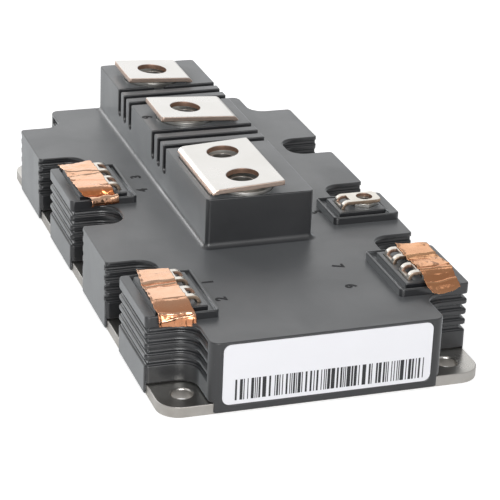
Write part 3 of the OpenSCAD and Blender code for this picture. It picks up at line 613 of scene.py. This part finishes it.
pale_copper = rolled_foil("pale copper foil", (0.90, 0.60, 0.42), (0.74, 0.26, 0.10))
warm_copper = rolled_foil("warm copper foil", (0.90, 0.51, 0.28), (0.58, 0.235, 0.105))
foil_thickness = 0.00012
tab_gap = 0.00010
foil_rows, foil_columns = 200, 64
edge_smoothing = 4       # rows on either side that the moving average takes in
edge_waver = 0.13        # sideways wander of a long edge, in mm
end_length = 5           # the last mm of a sheet, which its tongue and torn end move
end_waver = 0.12
end_way = (0, 0.7, 0.7)  # direction in which a torn end is uneven
crease_waver, crease_waves = 0.12, 9
# How strongly a crease is painted: painted highlight on raised creases, painted shade in dipped
# ones.
crease_light_and_shade = 0.5
curl_width = 0.45
curl_ripple, curl_waves = 0.4, 2.3
facet_knots = 64         # corners of the grid along each side
# Crumples as (pitch in mm, turn in radians, share of the full height)
crumple_sizes = ((3.1, 0.5, 1.0), (1.9, -0.8, 0.6), (1.1, 1.2, 0.3), (0.6, 0.2, 0.12))


def facets(along, aside, pitch, turn, draw):
    """Crumpled relief from -1 to 1 over two coordinates turned by an angle: random heights at
    the corners of a square grid, joined by flat triangles, two to each square."""
    a = (along * np.cos(turn) + aside * np.sin(turn)) / pitch
    b = (aside * np.cos(turn) - along * np.sin(turn)) / pitch
    i, j = np.floor(a).astype(int), np.floor(b).astype(int)
    a, b = a - i, b - j
    knots = draw.uniform(-1, 1, (facet_knots, facet_knots))

    def knot(di, dj):
        return knots[(i + di) % facet_knots, (j + dj) % facet_knots]

    near = knot(0, 0) + (knot(1, 0) - knot(0, 0)) * a + (knot(0, 1) - knot(0, 0)) * b
    far = knot(1, 1) + (knot(0, 1) - knot(1, 1)) * (1 - a) + (knot(1, 0) - knot(1, 1)) * (1 - b)
    return np.where(a + b < 1, near, far)


def wander(count, reach, draw):
    """Random numbers smoothed by the mean of a few neighbours."""
    return np.convolve(draw.normal(0, 1, count + reach - 1), np.ones(reach) / reach, "valid")


def foil_edge(points, steps, run, draw):
    """A long edge in mm through points at the given steps along the sheet, read at each run
    along it, smoothed by a moving average with a bell of weights, and wandering sideways."""
    bell = np.hanning(2 * edge_smoothing + 1)
    bell = bell / bell.sum()
    line = np.stack([np.interp(run, steps, points[:, k]) for k in range(3)], axis=1)
    padded = np.pad(line, ((edge_smoothing, edge_smoothing), (0, 0)), mode="edge")
    line = np.stack([np.convolve(padded[:, k], bell, "valid") for k in range(3)], axis=1)
    line[:, 0] += wander(foil_rows, 5, draw) * edge_waver
    return line


def pressed_foil(name, node, finish, left, right, tone_and_shade, creases, crumple, curl, tongue,
                 seed, tabs):
    """A sheet lofted between a left and a right edge in mm. Along its normal it gains creases,
    each a tent: a height times one less the distance from its line over its half width;
    crumples, the sum of flat facets at four sizes; and a curl of the left edge, a bell over
    the distance from it. A tongue moves the middle of its last rows by the square of the way
    along, times a parabola across. The tone and painted shade are given at each point of the
    edges; raised creases take a painted highlight out of it, and dipped creases add painted
    shade. Over the tabs under it the sheet never goes lower than their tops."""
    draw = np.random.default_rng(seed)
    left, right = np.array(left), np.array(right)
    steps = np.linalg.norm(np.diff((left + right) / 2, axis=0), axis=1)
    steps = np.concatenate([[0], np.cumsum(steps)])
    run = np.linspace(0, steps[-1], foil_rows)
    across = np.linspace(0, 1, foil_columns)
    left_edge = foil_edge(left, steps, run, draw)[:, None]
    right_edge = foil_edge(right, steps, run, draw)[:, None]
    sheet = left_edge * (1 - across[:, None]) + right_edge * across[:, None]
    last = np.clip((run - run[-1] + end_length) / end_length, 0, 1)[:, None] ** 2
    sheet += (last * 4 * across * (1 - across))[..., None] * np.array(tongue)
    torn = last * wander(foil_columns, 3, draw) * end_waver
    sheet += torn[..., None] * np.array(end_way)
    normal = np.cross(np.gradient(sheet, axis=1), np.gradient(sheet, axis=0))
    normal /= np.linalg.norm(normal, axis=2, keepdims=True)
    normal *= np.sign(normal[foil_rows // 8, foil_columns // 2, 2])

    height = np.zeros((foil_rows, foil_columns))
    # The sheet's tone and painted shade, read along it from the values given at its edges.
    shade = np.repeat(np.interp(run, steps, tone_and_shade)[:, None], foil_columns, axis=1)
    # Raised creases are painted lighter, a painted highlight; dipped creases are painted darker,
    # painted shade.
    for at_left, at_right, rise, half in creases:
        waver = crease_waver * np.sin(across * crease_waves + at_left)
        line = at_left * (1 - across) + at_right * across + waver
        tent = np.clip(1 - abs(run[:, None] - line) / half, 0, 1)
        height += rise * tent
        shade -= np.sign(rise) * crease_light_and_shade * tent
    for pitch, turn, share in crumple_sizes:
        height += facets(run[:, None], sheet[..., 0], pitch, turn, draw) * crumple * share
    from_edge = abs(sheet[..., 0] - sheet[:, :1, 0])
    ripple = 1 - curl_ripple + curl_ripple * np.sin(run * curl_waves)[:, None]
    height += curl * np.exp(-(from_edge / curl_width) ** 2) * ripple
    points = (sheet + normal * height[..., None]).reshape(-1, 3) / 1000
    for tab in tabs:
        low, high = (np.array(corner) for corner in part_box(f"auxiliary_tab_{tab}"))
        on_tab = np.all((points[:, :2] > low[:2]) & (points[:, :2] < high[:2]), axis=1)
        points[on_tab, 2] = np.maximum(points[on_tab, 2], high[2] + tab_gap)

    rows, columns = np.meshgrid(np.arange(foil_rows - 1), np.arange(foil_columns - 1),
                                indexing="ij")
    first = (rows * foil_columns + columns).ravel()
    quads = np.stack([first, first + foil_columns, first + foil_columns + 1, first + 1], axis=1)
    mesh = bpy.data.meshes.new(name)
    mesh.from_pydata(points.tolist(), [], quads.tolist())
    mesh.polygons.foreach_set("use_smooth", np.ones(len(quads), dtype=bool))
    mesh.update()
    mesh.materials.append(finish)
    # The tone and painted shade go into a point attribute for the finish.
    tone_and_shade_layer = mesh.attributes.new("tone_and_shade", "FLOAT", "POINT")
    tone_and_shade_layer.data.foreach_set("value", np.clip(shade, 0, 1).ravel().astype(np.float32))
    foil = bpy.data.objects.new(name, mesh)
    scene.collection.objects.link(foil)
    wall = foil.modifiers.new("thickness", "SOLIDIFY")
    wall.thickness = foil_thickness
    wall.offset = 0
    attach(foil, "root")
    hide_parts(node)


# Heights in mm of a sheet on its tabs, and where it is pressed down between them
on_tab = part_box("auxiliary_tab_1")[1][2] * 1000 + 0.12
dip, press = on_tab - 0.35, on_tab - 0.2
# Each list of values at the edges is the foil's tone plus painted shade, deeper where the sheet
# drops over the rim and in its dips.
pressed_foil(
    "foil_front", "shorting_foil_front", pale_copper,
    left=[(-40.7, -49.0, on_tab), (-41.2, -53.0, on_tab), (-41.6, -56.5, on_tab),
          (-41.8, -57.6, dip), (-41.9, -59.6, dip), (-41.9, -60.8, on_tab),
          (-42.0, -66.6, on_tab), (-42.0, -68.2, on_tab - 0.4), (-41.8, -70.0, 23.6),
          (-41.4, -71.5, 22.5), (-41.2, -71.95, 21.2), (-41.1, -72.0, 19.2)],
    right=[(-32.1, -49.4, on_tab), (-32.2, -53.2, on_tab), (-32.4, -56.6, on_tab),
           (-32.5, -57.4, press), (-32.6, -59.4, press), (-32.7, -60.6, on_tab),
           (-32.6, -66.6, on_tab), (-32.4, -67.8, on_tab - 0.2), (-32.1, -70.2, 23.5),
           (-31.8, -71.7, 22.45), (-31.6, -72.9, 21.3), (-31.5, -73.2, 19.0)],
    tone_and_shade=[0.12, 0.12, 0.15, 0.3, 0.3, 0.12, 0.12, 0.35, 0.55, 0.7, 0.75, 0.65],
    creases=[(7.6, 7.3, 0.30, 0.45), (9.9, 9.5, 0.28, 0.45), (8.8, 8.4, -0.1, 0.5),
             (23.0, 23.4, 0.2, 0.5), (25.2, 23.8, 0.25, 0.4)],
    crumple=0.16, curl=0.4, tongue=(0, 0, 0), seed=3, tabs=(1, 2))
pressed_foil(
    "foil_left", "shorting_foil_left", pale_copper,
    left=[(-43.0, 27.8, on_tab), (-42.6, 24.0, on_tab), (-42.4, 21.5, on_tab),
          (-42.3, 19.6, dip), (-42.2, 17.4, on_tab), (-42.1, 12.5, on_tab),
          (-41.9, 9.6, on_tab), (-41.2, 8.2, 23.9), (-40.4, 7.2, 23.0),
          (-39.9, 6.2, 23.3), (-39.4, 5.0, 23.5), (-39.1, 3.9, 23.0),
          (-39.0, 3.3, 22.1), (-39.0, 3.5, 21.2), (-39.1, 4.3, 20.7)],
    right=[(-33.0, 29.0, on_tab), (-32.6, 24.5, on_tab), (-32.5, 21.7, on_tab),
           (-32.4, 19.7, press), (-32.4, 17.4, on_tab), (-32.3, 12.0, on_tab),
           (-32.1, 8.4, on_tab), (-31.8, 7.6, 24.0), (-31.5, 7.0, 23.1),
           (-31.3, 6.4, 23.3), (-31.1, 5.7, 23.5), (-30.9, 5.0, 23.1),
           (-30.8, 4.6, 22.2), (-30.7, 4.7, 21.3), (-30.7, 5.3, 20.8)],
    tone_and_shade=[0.1, 0.12, 0.15, 0.25, 0.12, 0.15, 0.35, 1.0, 1.0, 0.5, 0.05, 0.1, 0.4, 0.9, 1.0],
    creases=[(6.0, 7.4, 0.25, 0.5), (10.4, 9.0, 0.3, 0.5), (13.0, 14.5, -0.25, 0.6)],
    crumple=0.26, curl=0.15, tongue=(0, 0, 0), seed=8, tabs=(3, 4))
pressed_foil(
    "foil_right", "shorting_foil_right", warm_copper,
    left=[(32.2, -48.6, on_tab), (32.1, -53.0, on_tab), (31.8, -56.6, on_tab),
          (31.8, -58.4, dip), (31.9, -60.7, on_tab), (32.1, -64.2, on_tab),
          (32.1, -67.0, on_tab - 0.05), (32.1, -68.9, 24.1), (31.9, -70.6, 23.1),
          (31.9, -72.0, 22.6), (32.1, -73.6, 22.3), (32.4, -75.0, 21.9)],
    right=[(41.0, -49.7, on_tab), (40.9, -53.4, on_tab), (40.7, -56.8, on_tab),
           (41.0, -58.6, press), (41.2, -60.6, on_tab), (41.4, -64.0, on_tab),
           (41.2, -67.2, on_tab - 0.05), (40.9, -69.0, 24.3), (40.8, -70.8, 23.6),
           (40.8, -72.2, 23.2), (40.8, -73.2, 22.9), (40.7, -73.8, 22.6)],
    tone_and_shade=[0.25, 0.3, 0.3, 0.25, 0.3, 0.45, 0.6, 0.8, 0.8, 0.75, 0.7, 0.55],
    creases=[(8.2, 7.3, 0.45, 0.5), (16.3, 15.7, -0.3, 0.5), (17.2, 16.9, 0.25, 0.4),
             (22.4, 22.0, 0.25, 0.4)],
    crumple=0.17, curl=0.2, tongue=(0, -0.8, -0.5), seed=5, tabs=(5, 6))
